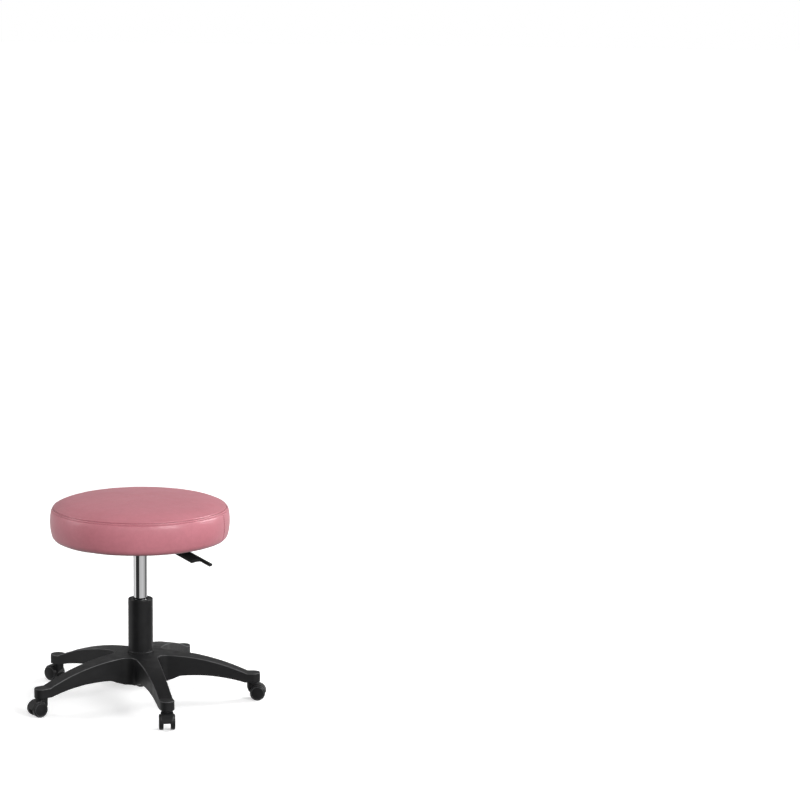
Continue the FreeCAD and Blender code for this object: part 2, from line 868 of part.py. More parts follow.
def make_lever_parts():
    arm_top = S.arm_bottom + S.arm_thickness
    tail_end = S.arm_bend + S.tail_run
    run = S.tail_run
    drop = S.tail_drop
    tail_length = Size(math.hypot(run.number, drop.number), f"sqrt({run.text} ^ 2 + {drop.text} ^ 2)")
    mitre = (tail_length - run) / drop * S.arm_thickness / 2
    arm = turn_with_lever(new_body("lever_arm"))
    sketch = new_sketch(arm, "XZ_Plane")
    outline(sketch, [
        (S.arm_back, S.arm_bottom),
        (S.arm_bend - mitre, S.arm_bottom),
        (tail_end - mitre, S.arm_bottom - drop),
        (tail_end + mitre, arm_top - drop),
        (S.arm_bend + mitre, arm_top),
        (S.arm_back, arm_top),
    ])
    pad(arm, sketch, S.arm_width, both_sides=True)
    sketch = new_sketch(arm, "XZ_Plane")
    circle(sketch, S.pivot_reach, S.pivot_level, S.arm_boss_radius)
    pad(arm, sketch, S.arm_width, both_sides=True)
    sketch = new_sketch(arm, "XZ_Plane")
    circle(sketch, S.pivot_reach, S.pivot_level, S.pivot_radius + S.running_gap)
    pocket(arm, sketch, S.arm_width + 4, both_sides=True)

    handle = new_body("lever_handle")
    half = S.handle_width / 2
    thick = S.handle_thickness / 2
    tip_side = half - S.handle_tip_width
    sketch = new_sketch(handle, "XY_Plane")
    outline(sketch, [
        (S.handle_start, -half),
        (S.handle_step, -half),
        (S.handle_step + 2, 3 - half),
        (S.handle_step + 6, tip_side),
        (S.handle_end, tip_side),
        (S.handle_end, half),
        (S.handle_start, half),
    ])
    pad(handle, sketch, S.handle_thickness, both_sides=True)
    sketch = new_sketch(handle, "XZ_Plane")
    outline(sketch, [
        (S.handle_step - 6, -thick - 1),
        (S.handle_end + 1, -thick - 1),
        (S.handle_end + 1, S.handle_tip_drop - thick),
        (S.handle_step + 4, S.handle_tip_drop - thick),
        (S.handle_step, -thick),
        (S.handle_step - 6, -thick),
    ])
    pocket(handle, sketch, S.handle_width + 4, both_sides=True)
    round_edges(handle, 1.2, lambda edge, shape: is_long_lip(edge))
    sketch = new_sketch(handle, "YZ_Plane", lift=S.handle_start - 1)
    slot_half = S.arm_width / 2 + S.running_gap
    slot_thick = S.arm_thickness / 2 + S.running_gap
    outline(sketch, box_outline(-slot_half, slot_half, -slot_thick, slot_thick))
    pocket(handle, sketch, tail_length - S.handle_start + 2)

    slope = math.degrees(math.atan2(drop.number, run.number))
    upright = FreeCAD.Vector(0, 0, 1)
    bend = FreeCAD.Vector(S.arm_bend.number, 0, S.arm_bottom.number + S.arm_thickness.number / 2)
    to_bend = FreeCAD.Placement(bend, FreeCAD.Rotation(FreeCAD.Vector(0, 1, 0), slope))
    turn = FreeCAD.Placement(FreeCAD.Vector(), FreeCAD.Rotation(upright, S.lever_turn.number))
    handle.Placement = turn * to_bend


def is_long_lip(edge):
    """The handle's long edges, which are rounded for the fingers."""
    start, end = edge.Vertexes[0].Point, edge.Vertexes[-1].Point
    return abs(start.y - end.y) < 0.01 and abs(start.z - end.z) < 0.01 and abs(start.x - end.x) > 20


# ---------------------------------------------------------------- seat

def make_seat_parts():
    board_top = S.board_bottom + S.board_thickness
    skin = S.cover_thickness
    flap_bottom = S.board_bottom - skin

    board = turn_with_lever(new_body("seat_board"))
    revolve(board, [
        (0, S.board_bottom),
        (S.board_radius - 1, S.board_bottom),
        (S.board_radius, S.board_bottom + 1, 1),
        (S.board_radius, board_top),
        (0, board_top),
    ])
    sketch = new_sketch(board, "XY_Plane", lift=S.board_bottom - 2)
    bolt = S.bolt_square / 2
    for x in (-bolt, bolt):
        for y in (-bolt, bolt):
            circle(sketch, x, y, S.nut_barrel_radius)
    pocket(board, sketch, S.board_thickness + 4)

    foam = turn_with_lever(new_body("seat_foam"))
    revolve(foam, [
        (0, board_top),
        (S.board_radius, board_top),
        (S.board_radius, S.seat_bottom + skin),
        (S.foot_radius, S.seat_bottom + skin),
        (S.band_foot_radius - skin, S.band_foot_level, S.foot_bend - skin),
        (S.band_top_radius - skin, S.band_top_level, S.band_bend),
        (S.seam_radius - skin, S.seam_level - skin, S.band_top_bend - skin),
        (S.crown_knee, S.crown_knee_level - skin, S.crown_edge_bend),
        (0, S.crown_level - skin, DOME),
    ])
    sketch = new_sketch(foam, "XY_Plane", lift=board_top - 1)
    for x in (-bolt, bolt):
        for y in (-bolt, bolt):
            circle(sketch, x, y, S.nut_flange_radius + 0.4)
    pocket(foam, sketch, S.nut_flange_thickness + 1.2)

    turned("seat_cover", [
        (S.flap_radius, flap_bottom),
        (S.board_radius - 5, flap_bottom),
        (S.board_radius - 1, S.seat_bottom),
        (S.foot_radius, S.seat_bottom),
        (S.band_foot_radius, S.band_foot_level, S.foot_bend),
        (S.band_top_radius, S.band_top_level, S.band_bend),
        (S.seam_radius, S.seam_level, S.band_top_bend),
        (S.crown_knee, S.crown_knee_level, S.crown_edge_bend),
        (0, S.crown_level, DOME),
        (0, S.crown_level - skin),
        (S.crown_knee, S.crown_knee_level - skin, DOME),
        (S.seam_radius - skin, S.seam_level - skin, -S.crown_edge_bend),
        (S.band_top_radius - skin, S.band_top_level, skin - S.band_top_bend),
        (S.band_foot_radius - skin, S.band_foot_level, -S.band_bend),
        (S.foot_radius, S.seat_bottom + skin, skin - S.foot_bend),
        (S.board_radius, S.seat_bottom + skin),
        (S.board_radius, S.board_bottom),
        (S.flap_radius, S.board_bottom),
    ])

    cloth_top = S.board_bottom
    cloth = S.cloth_thickness
    cloth_edge = S.flap_radius + 12
    dust = turn_with_lever(new_body("dust_cover"))
    revolve(dust, [
        (0, cloth_top - cloth),
        (S.flap_radius - 4, cloth_top - cloth),
        (S.flap_radius, flap_bottom - cloth),
        (cloth_edge, flap_bottom - cloth),
        (cloth_edge, flap_bottom),
        (S.flap_radius, flap_bottom),
        (S.flap_radius, cloth_top),
        (0, cloth_top),
    ])
    sketch = new_sketch(dust, "XY_Plane", lift=S.board_bottom - 2)
    for x in (-bolt, bolt):
        for y in (-bolt, bolt):
            circle(sketch, x, y, S.nut_barrel_radius)
    pocket(dust, sketch, 4)

    staples = new_body("cover_staples")
    crown_bottom = flap_bottom - cloth - 0.6
    reach = S.flap_radius + 6
    sketch = new_sketch(staples, "YZ_Plane", lift=reach)
    outline(sketch, [
        (-5, crown_bottom),
        (5, crown_bottom),
        (5, crown_bottom + 8),
        (4.4, crown_bottom + 8),
        (4.4, crown_bottom + 0.6),
        (-4.4, crown_bottom + 0.6),
        (-4.4, crown_bottom + 8),
        (-5, crown_bottom + 8),
    ])
    staple = pad(staples, sketch, 1.1)
    repeat_round(staples, [staple], S.staple_count)


# ---------------------------------------------------------------- casters

def make_caster(number, degrees, swivel):
    """One twin-wheel caster, built at the column, moved out to its leg and swivelled there."""
    upright = FreeCAD.Vector(0, 0, 1)
    turn = FreeCAD.Placement(FreeCAD.Vector(), FreeCAD.Rotation(upright, degrees))
    to_leg = turn * FreeCAD.Placement(
        FreeCAD.Vector(S.caster_circle.number, 0, 0), FreeCAD.Rotation(upright, swivel))
    to_axle = to_leg * FreeCAD.Placement(
        FreeCAD.Vector(S.caster_trail.number, 0, S.wheel_radius.number), FreeCAD.Rotation())

    make_hood(f"caster_hood_{number}").Placement = to_leg
    axle = new_body(f"axle_{number}")
    sketch = new_sketch(axle, "XZ_Plane")
    circle(sketch, 0, 0, S.axle_radius)
    pad(axle, sketch, S.axle_half_length * 2, both_sides=True)
    axle.Placement = to_axle
    for side, tilt in (("left", -90), ("right", 90)):
        wheel = make_wheel(f"wheel_{side}_{number}")
        wheel.Placement = to_axle * FreeCAD.Placement(
            FreeCAD.Vector(), FreeCAD.Rotation(FreeCAD.Vector(1, 0, 0), tilt))


def make_hood(label):
    """Hood: a web between the wheels, a fender over their treads and a round neck for the stem."""
    body = new_body(label)
    axle_x = S.caster_trail
    axle_z = S.wheel_radius
    edge = S.hood_edge_level
    front = axle_x + S.hood_radius
    back = -S.neck_radius

    sketch = new_sketch(body, "XZ_Plane")
    outline(sketch, [
        (back + 5, edge),
        (front - 0.3, edge),
        (axle_x, axle_z + S.hood_radius, S.hood_radius + 0.3),
        (S.neck_radius - 2, S.neck_top - 1.5),
        (back, S.neck_top - 1.5),
        (back, axle_z + 10),
    ])
    pad(body, sketch, S.hood_half_width * 2, both_sides=True)
    round_edges(body, 2.2, lambda edge, shape: is_hood_side(edge, shape))
    hood_trim = new_sketch(body, "XY_Plane")
    side = S.hood_half_width
    outline(hood_trim, box_outline(back - 10, front + 10, -side - 10, side + 10))
    outline(hood_trim, [
        (back, 0, S.neck_radius),
        (0, back, S.neck_radius),
        (5, -side),
        (front + 2, -side),
        (front + 2, side),
        (5, side),
        (0, S.neck_radius),
    ])
    pocket(body, hood_trim, S.neck_top + 5)

    revolve(body, [
        (0, S.stem_bottom + 6),
        (S.neck_radius - 2, S.stem_bottom + 6),
        (S.neck_radius, S.neck_top - 4),
        (S.neck_radius, S.neck_top - 0.8),
        (S.neck_radius - 0.8, S.neck_top),
        (0, S.neck_top),
    ])
    wheel_room = new_sketch(body, "XZ_Plane", lift=S.web_half_width)
    circle(wheel_room, axle_x, axle_z, S.hood_inner_radius)
    pocket(body, wheel_room, 30)
    wheel_room = new_sketch(body, "XZ_Plane", lift=-S.web_half_width)
    circle(wheel_room, axle_x, axle_z, S.hood_inner_radius)
    pocket(body, wheel_room, 30, reverse=False)
    boss = new_sketch(body, "XZ_Plane")
    circle(boss, axle_x, axle_z, S.axle_boss_radius)
    pad(body, boss, S.web_half_width * 2, both_sides=True)

    revolve(body, [
        (0, S.stem_bottom - 0.3),
        (S.stem_radius + S.running_gap, S.stem_bottom - 0.3),
        (S.stem_radius + S.running_gap, S.neck_top + 2),
        (0, S.neck_top + 2),
    ], "Groove")
    hole = new_sketch(body, "XZ_Plane")
    circle(hole, axle_x, axle_z, S.axle_radius)
    pocket(body, hole, S.hood_half_width * 3, both_sides=True)
    return body


def is_hood_side(edge, shape):
    """Edges between the hood's flat sides and its outer shell."""
    flat_side = any(abs(abs(normal.y) - 1) < 0.01 for normal in normals_at(edge, shape))
    return flat_side and middle_of(edge).z > S.hood_edge_level.number + 1


def make_wheel(label):
    """A wheel turned about its own axle, open towards the web, with a raised ring on its outer face."""
    body = new_body(label)
    rim = S.wheel_radius
    ring = S.wheel_ring_radius
    revolve(body, [
        (S.wheel_bore, S.wheel_inner_face),
        (5, S.wheel_inner_face),
        (5, S.wheel_rim_face - 2.5),
        (rim - 2.2, S.wheel_rim_face - 2.5),
        (rim - 2.2, S.wheel_inner_face),
        (rim - 0.6, S.wheel_inner_face),
        (rim, S.wheel_inner_face + 0.6),
        (rim, S.wheel_rim_face - 1.2),
        (rim - 1.2, S.wheel_rim_face, 1.2),
        (ring + 0.5, S.wheel_rim_face),
        (ring, S.wheel_rim_face + 0.7),
        (ring - 0.7, S.wheel_rim_face + 0.7),
        (ring - 1.2, S.wheel_rim_face),
        (0, S.wheel_crown_face, DOME),
        (0, S.axle_half_length + 0.3),
        (S.wheel_bore, S.axle_half_length + 0.3),
    ])
    return body


def make_casters():
    step = 360 / DIMENSIONS["leg_count"]
    last = DIMENSIONS["leg_count"]
    for number in range(1, last):
        make_caster(number, (number - 1) * step, 0)
    make_caster(last, (last - 1) * step, S.caster_turn.number)

    stems = new_body("caster_stems")
    ring_floor = S.stem_radius - 0.9
    add_turned(stems, S.caster_circle, [
        (0, S.stem_bottom),
        (S.stem_radius - 0.7, S.stem_bottom),
        (S.stem_radius, S.stem_bottom + 0.7),
        (S.stem_radius, S.neck_top + 0.3),
        (S.stem_collar_radius, S.neck_top + 0.3),
        (S.stem_collar_radius, S.boss_bottom),
        (S.stem_radius, S.boss_bottom),
        (S.stem_radius, S.stem_top - 8),
        (ring_floor, S.stem_top - 8),
        (ring_floor, S.stem_top - 4),
        (S.stem_radius, S.stem_top - 4),
        (S.stem_radius, S.stem_top - 0.8),
        (S.stem_radius - 0.8, S.stem_top),
        (0, S.stem_top),
    ])
    repeat_round(stems, [stems.Tip], S.leg_count)
    rings = new_body("grip_rings")
    add_turned(rings, S.caster_circle, ring_outline(
        ring_floor, S.stem_radius + 0.03, S.stem_top - 8, S.stem_top - 4))
    repeat_round(rings, [rings.Tip], S.leg_count)


# ---------------------------------------------------------------- build, check and write

def main():
    make_star_base()
    make_tube_parts()
    make_cylinder_parts()
    make_mechanism_parts()
    make_lever_parts()
    make_seat_parts()
    make_casters()
    doc.recompute()

    broken = [item.FullName for item in doc.Objects if {"Invalid", "Error"} & set(item.State)]
    broken += [body.Label for body in bodies
               if body.Shape.isNull() or not body.Shape.isValid() or not body.Shape.Solids]
    if broken:
        raise RuntimeError(f"these did not build: {broken}")
    os.makedirs("parts", exist_ok=True)
    for body in bodies:
        body.Shape.exportStep(f"parts/{body.Label}.step")
        print(f"{body.Label}: {len(body.Shape.Solids)} solid(s), {body.Shape.Volume / 1000:.2f} cm3")
    print(f"{len(bodies)} nodes")


main()
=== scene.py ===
import json
import math

import bpy
from mathutils import Matrix, Vector, noise
from mathutils.bvhtree import BVHTree


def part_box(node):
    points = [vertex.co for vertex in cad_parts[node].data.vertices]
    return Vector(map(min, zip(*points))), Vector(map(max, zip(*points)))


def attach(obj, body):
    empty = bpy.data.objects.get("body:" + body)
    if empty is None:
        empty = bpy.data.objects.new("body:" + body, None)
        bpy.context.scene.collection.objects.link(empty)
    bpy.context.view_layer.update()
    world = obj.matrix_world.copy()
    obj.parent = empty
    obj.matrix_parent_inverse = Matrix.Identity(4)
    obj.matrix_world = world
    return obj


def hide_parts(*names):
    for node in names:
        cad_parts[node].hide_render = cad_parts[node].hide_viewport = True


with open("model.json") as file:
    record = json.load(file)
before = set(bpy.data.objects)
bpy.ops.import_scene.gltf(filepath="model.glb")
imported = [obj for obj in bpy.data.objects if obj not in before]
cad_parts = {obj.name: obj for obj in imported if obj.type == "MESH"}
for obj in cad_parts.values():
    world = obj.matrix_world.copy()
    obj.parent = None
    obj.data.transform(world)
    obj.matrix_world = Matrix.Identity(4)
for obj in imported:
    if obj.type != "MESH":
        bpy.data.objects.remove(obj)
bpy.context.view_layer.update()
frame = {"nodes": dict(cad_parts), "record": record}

# A rolling salon stool: padded vinyl seat, gas lift with a release lever, star base on twin-wheel casters.
# Metres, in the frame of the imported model: +Z up, origin on the floor under the column.

MM = 0.001
HUB_TOP = 97 * MM
NODES = frame["nodes"]


# ---------------------------------------------------------------- materials

# Scales of noise and cells are per metre, so 950 gives pebbles about a millimetre across.

class Nodes:
    """Short calls that add nodes to a tree and link them."""

    def __init__(self, tree):
        self.tree = tree

    def add(self, kind, inputs=None, **settings):
        node = self.tree.nodes.new(kind)
        for name, value in settings.items():
            setattr(node, name, value)
        for name, value in (inputs or {}).items():
            if isinstance(value, bpy.types.NodeSocket):
                self.tree.links.new(value, node.inputs[name])
            else:
                node.inputs[name].default_value = value
        return node

    def ramp(self, factor, *stops):
        """Colours or greys along a factor: each stop is (position, value)."""
        node = self.add("ShaderNodeValToRGB", {"Fac": factor})
        items = node.color_ramp.elements
        while len(items) < len(stops):
            items.new(0.5)
        for item, (position, value) in zip(items, stops):
            item.position = position
            item.color = (*value, 1) if isinstance(value, tuple) else (value, value, value, 1)
        return node.outputs["Color"]

    def math(self, operation, first, second):
        node = self.add("ShaderNodeMath", {0: first, 1: second}, operation=operation)
        return node.outputs["Value"]

    def mix(self, factor, first, second, blend="MIX"):
        node = self.add("ShaderNodeMix", data_type="RGBA", blend_type=blend)
        for index, value in ((0, factor), (6, first), (7, second)):
            if isinstance(value, bpy.types.NodeSocket):
                self.tree.links.new(value, node.inputs[index])
            else:
                node.inputs[index].default_value = (*value, 1) if isinstance(value, tuple) else value
        return node.outputs[2]


class Shade(Nodes):
    """A node material with one principled shader, whose plain values are given by name."""

    def __init__(self, name, **plain):
        self.material = bpy.data.materials.new(name)
        self.material.use_nodes = True
        super().__init__(self.material.node_tree)
        self.shader = self.tree.nodes["Principled BSDF"]
        for socket, value in plain.items():
            self.shader.inputs[socket.replace("_", " ")].default_value = value
        self.place = self.add("ShaderNodeTexCoord").outputs["Object"]

    def set(self, socket, value):
        self.tree.links.new(value, self.shader.inputs[socket])

    def stretched(self, x, y, z):
        return self.add("ShaderNodeMapping", {"Vector": self.place, "Scale": (x, y, z)}).outputs["Vector"]

    def noise(self, scale, detail=3.0, rough=0.5, where=None):
        node = self.add("ShaderNodeTexNoise", {
            "Vector": where or self.place, "Scale": scale, "Detail": detail, "Roughness": rough})
        return node.outputs["Fac"]

    def cells(self, scale, feature="F1", smooth=None):
        node = self.add("ShaderNodeTexVoronoi", {"Vector": self.place, "Scale": scale}, feature=feature)
        if smooth is not None:
            node.inputs["Smoothness"].default_value = smooth
        return node.outputs["Distance"]

    def bumps(self, *layers):
        """Stacks bumps of (height, strength, distance) and gives them to the shader's normal."""
        normal = None
        for height, strength, distance in layers:
            inputs = {"Height": height, "Strength": strength, "Distance": distance}
            if normal is not None:
                inputs["Normal"] = normal
            normal = self.add("ShaderNodeBump", inputs).outputs["Normal"]
        self.set("Normal", normal)


def attribute(shade, name):
    """A value that the piece's mesh carries at each point."""
    return shade.add("ShaderNodeAttribute", attribute_name=name).outputs["Fac"]


def vinyl_material():
    """Soft vinyl: cloudy pink, with painted shade darkening its creases, pebbled, and matt on the crown
    where it is sat on.
    """
    shade = Shade("pink_vinyl", IOR=1.48, Specular_IOR_Level=0.5, Sheen_Weight=0.05, Sheen_Roughness=0.4)
    shade.shader.inputs["Sheen Tint"].default_value = (1.0, 0.86, 0.88, 1)
    cloudy = shade.ramp(shade.noise(9, 4), (0.3, (0.47, 0.162, 0.195)), (0.7, (0.515, 0.184, 0.221)))
    mottled = shade.ramp(shade.noise(120, 5, 0.6), (0.35, 0.94), (0.65, 1.0))
    colour = shade.mix(1.0, cloudy, mottled, "MULTIPLY")
    # Painted shade: the colour turns deep pink-brown along the seam, the stitch line, the upright joint and
    # the pleat troughs underneath.
    colour = shade.mix(attribute(shade, "crease_shade"), colour, (0.25, 0.075, 0.095))
    shade.set("Base Color", colour)
    patches = shade.noise(35, 4)
    band_rough = shade.ramp(patches, (0.3, 0.28), (0.7, 0.37))
    crown_rough = shade.ramp(patches, (0.3, 0.52), (0.7, 0.62))
    shade.set("Roughness", shade.mix(attribute(shade, "worn"), band_rough, crown_rough))
    pebbles = shade.cells(950, "SMOOTH_F1", smooth=0.6)
    pores = shade.noise(2600, 2)
    shade.bumps((shade.noise(14, 3), 0.12, 0.004), (pebbles, 0.22, 0.0004), (pores, 0.12, 0.0002))
    return shade.material


def thread_material():
    shade = Shade("pink_thread", Sheen_Weight=0.2)
    fibres = shade.noise(900, 2)
    shade.set("Base Color", shade.ramp(fibres, (0.3, (0.36, 0.13, 0.16)), (0.7, (0.5, 0.21, 0.25))))
    shade.set("Roughness", shade.ramp(shade.noise(400), (0.3, 0.55), (0.7, 0.7)))
    twist = shade.add("ShaderNodeTexWave", {"Vector": shade.place, "Scale": 900, "Distortion": 2})
    shade.bumps((twist.outputs["Fac"], 0.5, 0.0002),)
    return shade.material


def upper_edges(shade):
    """One on the narrow rounds between upright sides and tops, and hardly any above the hub."""
    normal = shade.add("ShaderNodeTexCoord").outputs["Normal"]
    tilt = shade.add("ShaderNodeSeparateXYZ", {"Vector": normal}).outputs["Z"]
    height = shade.add("ShaderNodeSeparateXYZ", {"Vector": shade.place}).outputs["Z"]
    on_rounds = shade.ramp(tilt, (0.1, 0.0), (0.3, 1.0), (0.74, 1.0), (0.88, 0.0))
    below_top = shade.ramp(height, (HUB_TOP, 1.0), (HUB_TOP + 1.5 * MM, 0.1))
    return shade.math("MULTIPLY", on_rounds, below_top)


def edge_lines(shade, reach, sharpest, flattest):
    """One along edges and ridges, where the normal softened over reach leaves the true one.

    The two normals' agreement is 1 on a flat. The line is full up to sharpest and gone at flattest.
    """
    softened = shade.add("ShaderNodeBevel", {"Radius": reach}, samples=6).outputs["Normal"]
    true_normal = shade.add("ShaderNodeNewGeometry").outputs["Normal"]
    agreement = shade.add("ShaderNodeVectorMath", {0: softened, 1: true_normal}, operation="DOT_PRODUCT")
    return shade.ramp(agreement.outputs["Value"], (sharpest, 1.0), (flattest, 0.0))


def small_edges(shade):
    """The edges of small mouldings."""
    return edge_lines(shade, 0.9 * MM, 0.8, 0.985)


def low_ridges(shade):
    """Edges and also the low ring on a wheel's face."""
    return edge_lines(shade, 0.5 * MM, 0.975, 0.993)


def moulded_material(name, dark, light, rough, grain, grain_strength, edges, highlight_share):
    """Black moulded plastic: fine spark-eroded grain, faint flow marks, and a painted highlight that
    lightens its edges.
    """
    shade = Shade(name, IOR=1.5, Specular_IOR_Level=0.3)
    flow = shade.noise(22, 5, 0.6, shade.stretched(1, 1, 2.2))
    colour = shade.ramp(flow, (0.3, dark), (0.72, light))
    dust = shade.ramp(shade.noise(75, 6, 0.7), (0.58, 0.0), (0.8, 0.2))
    colour = shade.mix(dust, colour, (0.035, 0.034, 0.033))
    # Painted highlight: the chosen edges and rounds are lightened toward grey, in patches.
    patchy = shade.ramp(shade.noise(30, 3), (0.3, 0.35 * highlight_share), (0.6, highlight_share))
    painted_highlight = shade.math("MULTIPLY", edges(shade), patchy)
    shade.set("Base Color", shade.mix(painted_highlight, colour, (0.16, 0.16, 0.165)))
    shade.set("Roughness", shade.ramp(shade.noise(60, 4), (0.3, rough - 0.06), (0.7, rough + 0.07)))
    shade.bumps((flow, 0.05, 0.002), (shade.noise(grain, 3, 0.6), grain_strength, 0.0003))
    return shade.material


def coated_material(name, dark, light, rough):
    """Satin powder coat with a fine orange-peel surface."""
    shade = Shade(name, IOR=1.5, Specular_IOR_Level=0.3)
    shade.set("Base Color", shade.ramp(shade.noise(40, 4), (0.3, dark), (0.7, light)))
    shade.set("Roughness", shade.ramp(shade.noise(120, 3), (0.3, rough - 0.05), (0.7, rough + 0.06)))
    shade.bumps((shade.noise(500, 2), 0.1, 0.0004), (shade.noise(1800, 2), 0.05, 0.0002))
    return shade.material


def metal_material(name, dark, light, rough, brushed=(1, 1, 1), strength=0.05):
    """Bare metal with a grain stretched along one direction."""
    shade = Shade(name, Metallic=1.0)
    grain = shade.noise(300, 4, 0.6, shade.stretched(*brushed))
    shade.set("Base Color", shade.ramp(grain, (0.3, dark), (0.7, light)))
    shade.set("Roughness", shade.ramp(shade.noise(25, 4), (0.3, rough * 0.8), (0.7, rough * 1.25)))
    shade.bumps((grain, strength, 0.0002),)
    return shade.material


def rubber_material():
    shade = Shade("black_rubber", Specular_IOR_Level=0.3)
    shade.set("Base Color", shade.ramp(shade.noise(60, 4), (0.3, (0.018,) * 3), (0.7, (0.032,) * 3)))
    shade.set("Roughness", shade.ramp(shade.noise(200), (0.3, 0.7), (0.7, 0.85)))
    shade.bumps((shade.noise(900), 0.2, 0.0003),)
    return shade.material


def wood_material():
    shade = Shade("plywood", Specular_IOR_Level=0.3)
    grain = shade.noise(30, 6, 0.65, shade.stretched(1, 9, 9))
    plies = shade.add("ShaderNodeTexWave", {
        "Vector": shade.place, "Scale": 260, "Distortion": 1.5}, bands_direction="Z").outputs["Fac"]
    colour = shade.ramp(grain, (0.3, (0.5, 0.34, 0.19)), (0.7, (0.68, 0.5, 0.31)))
    layered = shade.ramp(plies, (0.3, (0.36, 0.24, 0.13)), (0.7, (0.7, 0.53, 0.34)))
    shade.set("Base Color", shade.mix(0.25, colour, layered))
    shade.set("Roughness", shade.ramp(grain, (0.3, 0.7), (0.7, 0.85)))
    shade.bumps((grain, 0.2, 0.0005),)
    return shade.material


def foam_material():
    shade = Shade("seat_foam", Specular_IOR_Level=0.2)
    cells = shade.cells(700)
    shade.set("Base Color", shade.ramp(cells, (0.1, (0.6, 0.55, 0.38)), (0.7, (0.86, 0.82, 0.62))))
    shade.set("Roughness", shade.ramp(cells, (0.2, 0.95), (0.8, 0.85)))
    shade.bumps((cells, 0.4, 0.001),)
    return shade.material


def cloth_material():
    """Thin spun-bonded cloth: crossed short fibres with pressed dots."""
    shade = Shade("underside_cloth", Specular_IOR_Level=0.2, Sheen_Weight=0.1)
    fibres = shade.noise(700, 4, 0.7, shade.stretched(1, 3, 1))
    dots = shade.cells(480)
    shade.set("Base Color", shade.ramp(fibres, (0.3, (0.012,) * 3), (0.7, (0.04,) * 3)))
    shade.set("Roughness", shade.ramp(fibres, (0.3, 0.8), (0.7, 0.95)))
    shade.bumps((dots, 0.35, 0.0003), (fibres, 0.3, 0.0002))
    return shade.material


BLACK = (0.006, 0.006, 0.0065)
WORN_BLACK = (0.01, 0.01, 0.0105)

# Darkest and lightest colour, roughness, grain scale and strength, which edges get the painted highlight
# and how strongly.
MOULDED = {
    "base_nylon": (BLACK, (0.011, 0.011, 0.0115), 0.44, 1500, 0.16, upper_edges, 0.5),
    "dark_plastic": (BLACK, WORN_BLACK, 0.36, 1400, 0.12, small_edges, 0.3),
    "caster_nylon": (BLACK, (0.012, 0.012, 0.0125), 0.33, 1700, 0.12, small_edges, 0.4),
    "wheel_nylon": ((0.005, 0.005, 0.0055), WORN_BLACK, 0.36, 1700, 0.12, low_ridges, 0.8),
}
# Darkest and lightest colour, roughness.
COATED = {
    "tube_coating": (BLACK, WORN_BLACK, 0.36),
    "mechanism_paint": ((0.007, 0.007, 0.0075), (0.012, 0.012, 0.0125), 0.38),
}
# Darkest and lightest colour, roughness, and for some the grain's stretch and strength.
METALS = {
    "chrome_plate": ((0.86, 0.86, 0.87), (0.9, 0.9, 0.91), 0.05, (1, 1, 0.05), 0.01),
    "bearing_steel": ((0.5, 0.5, 0.5), (0.66, 0.66, 0.66), 0.25),
    "spring_steel": ((0.2, 0.2, 0.2), (0.34, 0.34, 0.35), 0.35),
    "rod_steel": ((0.5, 0.5, 0.5), (0.68, 0.68, 0.68), 0.22, (1, 1, 0.1)),
    "zinc_steel": ((0.52, 0.52, 0.5), (0.7, 0.7, 0.69), 0.3),
    "guide_brass": ((0.55, 0.4, 0.18), (0.7, 0.53, 0.28), 0.3),
    "piston_aluminium": ((0.6, 0.6, 0.61), (0.74, 0.74, 0.75), 0.3, (1, 1, 6)),
}
MATERIALS = {
    **{name: moulded_material(name, *looks) for name, looks in MOULDED.items()},
    **{name: coated_material(name, *looks) for name, looks in COATED.items()},
    **{name: metal_material(name, *looks) for name, looks in METALS.items()},
    "black_rubber": rubber_material(),
    "plywood": wood_material(),
    "seat_foam": foam_material(),
    "underside_cloth": cloth_material(),
    "pink_vinyl": vinyl_material(),
}
THREAD = thread_material()

for part in frame["record"]["subparts"]:
    for material_slot in NODES[part["node"]].material_slots:
        material_slot.material = MATERIALS[part["material_slot"]]


# ---------------------------------------------------------------- mesh helpers

def mesh_object(name, points, faces, material):
    mesh = bpy.data.meshes.new(name)
    mesh.from_pydata([tuple(point) for point in points], [], faces)
    mesh.materials.append(material)
    mesh.polygons.foreach_set("use_smooth", [True] * len(mesh.polygons))
    mesh.validate()
    piece = bpy.data.objects.new(name, mesh)
    bpy.context.collection.objects.link(piece)
    return piece


def polar(radius, angle, level):
    """The point at a radius and angle around the column, at a level."""
    return Vector((radius * math.cos(angle), radius * math.sin(angle), level))


def lathe_faces(rows, columns, last_is_centre=False):
    """Faces of a grid of rows around the axis. The first row is one point, and the last may be."""
    starts = [0] + [1 + row * columns for row in range(rows - 1)]
    faces = []
    for row in range(rows - 1):
        low, high = starts[row], starts[row + 1]
        for i in range(columns):
            j = (i + 1) % columns
            if row == 0:
                faces.append((low, high + i, high + j))
            elif row == rows - 2 and last_is_centre:
                faces.append((low + j, low + i, high))
            else:
                faces.append((low + j, low + i, high + i, high + j))
    return faces


# ---------------------------------------------------------------- padded seat

COVER_LOW, COVER_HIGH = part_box("seat_cover")
SEAT_RADIUS = (COVER_HIGH.x - COVER_LOW.x) / 2
SEAT_BOTTOM = COVER_LOW.z
SEAT_TOP = COVER_HIGH.z
SEAM_RADIUS = SEAT_RADIUS - 5.2 * MM
SEAM_LEVEL = SEAT_TOP - 19.5 * MM
BAND_JOINT = math.radians(-16.4)
STITCH_DROP = 4.5 * MM
STITCH_COUNT = 260
SEAT_COLUMNS = 480
FORM_INSET = 4 * MM
# The step between rows of the cover, up to each distance from the seam.
ROW_STEPS = ((5 * MM, 0.4 * MM), (12 * MM, 1.2 * MM), (math.inf, 3 * MM))
# Rows under the seat: how far in from the side and up from the foot (mm), and how deep the pleats are.
UNDERSIDE = (
    (17, 0.1, 0.3), (20, 1.6, 0.7), (23, 3.4, 1.0), (27, 3.9, 1.0), (33, 4.0, 0.9), (41, 4.1, 0.7),
    (41.5, 5.2, 0.3))


